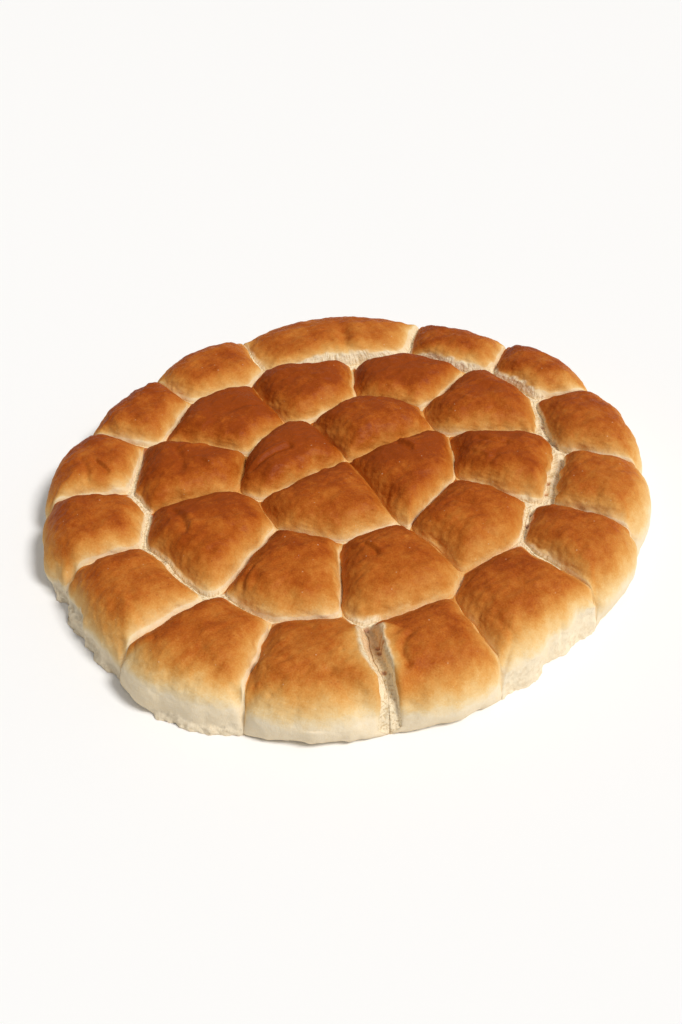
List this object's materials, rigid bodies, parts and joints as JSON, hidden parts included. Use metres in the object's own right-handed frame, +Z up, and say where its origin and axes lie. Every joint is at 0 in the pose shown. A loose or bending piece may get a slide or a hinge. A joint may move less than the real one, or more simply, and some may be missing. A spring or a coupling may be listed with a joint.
{
  "type": "round of pull-apart bread rolls",
  "caption": "Round of soft white pull-apart bread rolls in three rings, risen together and baked golden brown, with pale torn creases between them.",
  "frame": {"origin": "middle of the round's footprint, on the level of the soles", "axes": "+Z up through the round, -Y towards the side that shows in front"},
  "size_m": [0.4626, 0.472, 0.0513],
  "materials": {
    "outer_crust": "golden crust, pale at the foot",
    "middle_crust": "amber-brown crust, satin",
    "inner_crust": "brown crust, satin"
  },
  "bodies": {
    "root": {"outer_roll_01": "outer_crust", "outer_roll_02": "outer_crust", "outer_roll_03": "outer_crust", "outer_roll_04": "outer_crust", "outer_roll_05": "outer_crust", "outer_roll_06": "outer_crust", "outer_roll_07": "outer_crust", "outer_roll_08": "outer_crust", "outer_roll_09": "outer_crust", "outer_roll_10": "outer_crust", "outer_roll_11": "outer_crust", "outer_roll_12": "outer_crust", "outer_roll_13": "outer_crust", "outer_roll_14": "outer_crust", "outer_roll_15": "outer_crust", "middle_roll_01": "middle_crust", "middle_roll_02": "middle_crust", "middle_roll_03": "middle_crust", "middle_roll_04": "middle_crust", "middle_roll_05": "middle_crust", "middle_roll_06": "middle_crust", "middle_roll_07": "middle_crust", "middle_roll_08": "middle_crust", "middle_roll_09": "middle_crust", "middle_roll_10": "middle_crust", "inner_roll_01": "inner_crust", "inner_roll_02": "inner_crust", "inner_roll_03": "inner_crust", "inner_roll_04": "inner_crust"}
  },
  "joints": []
}
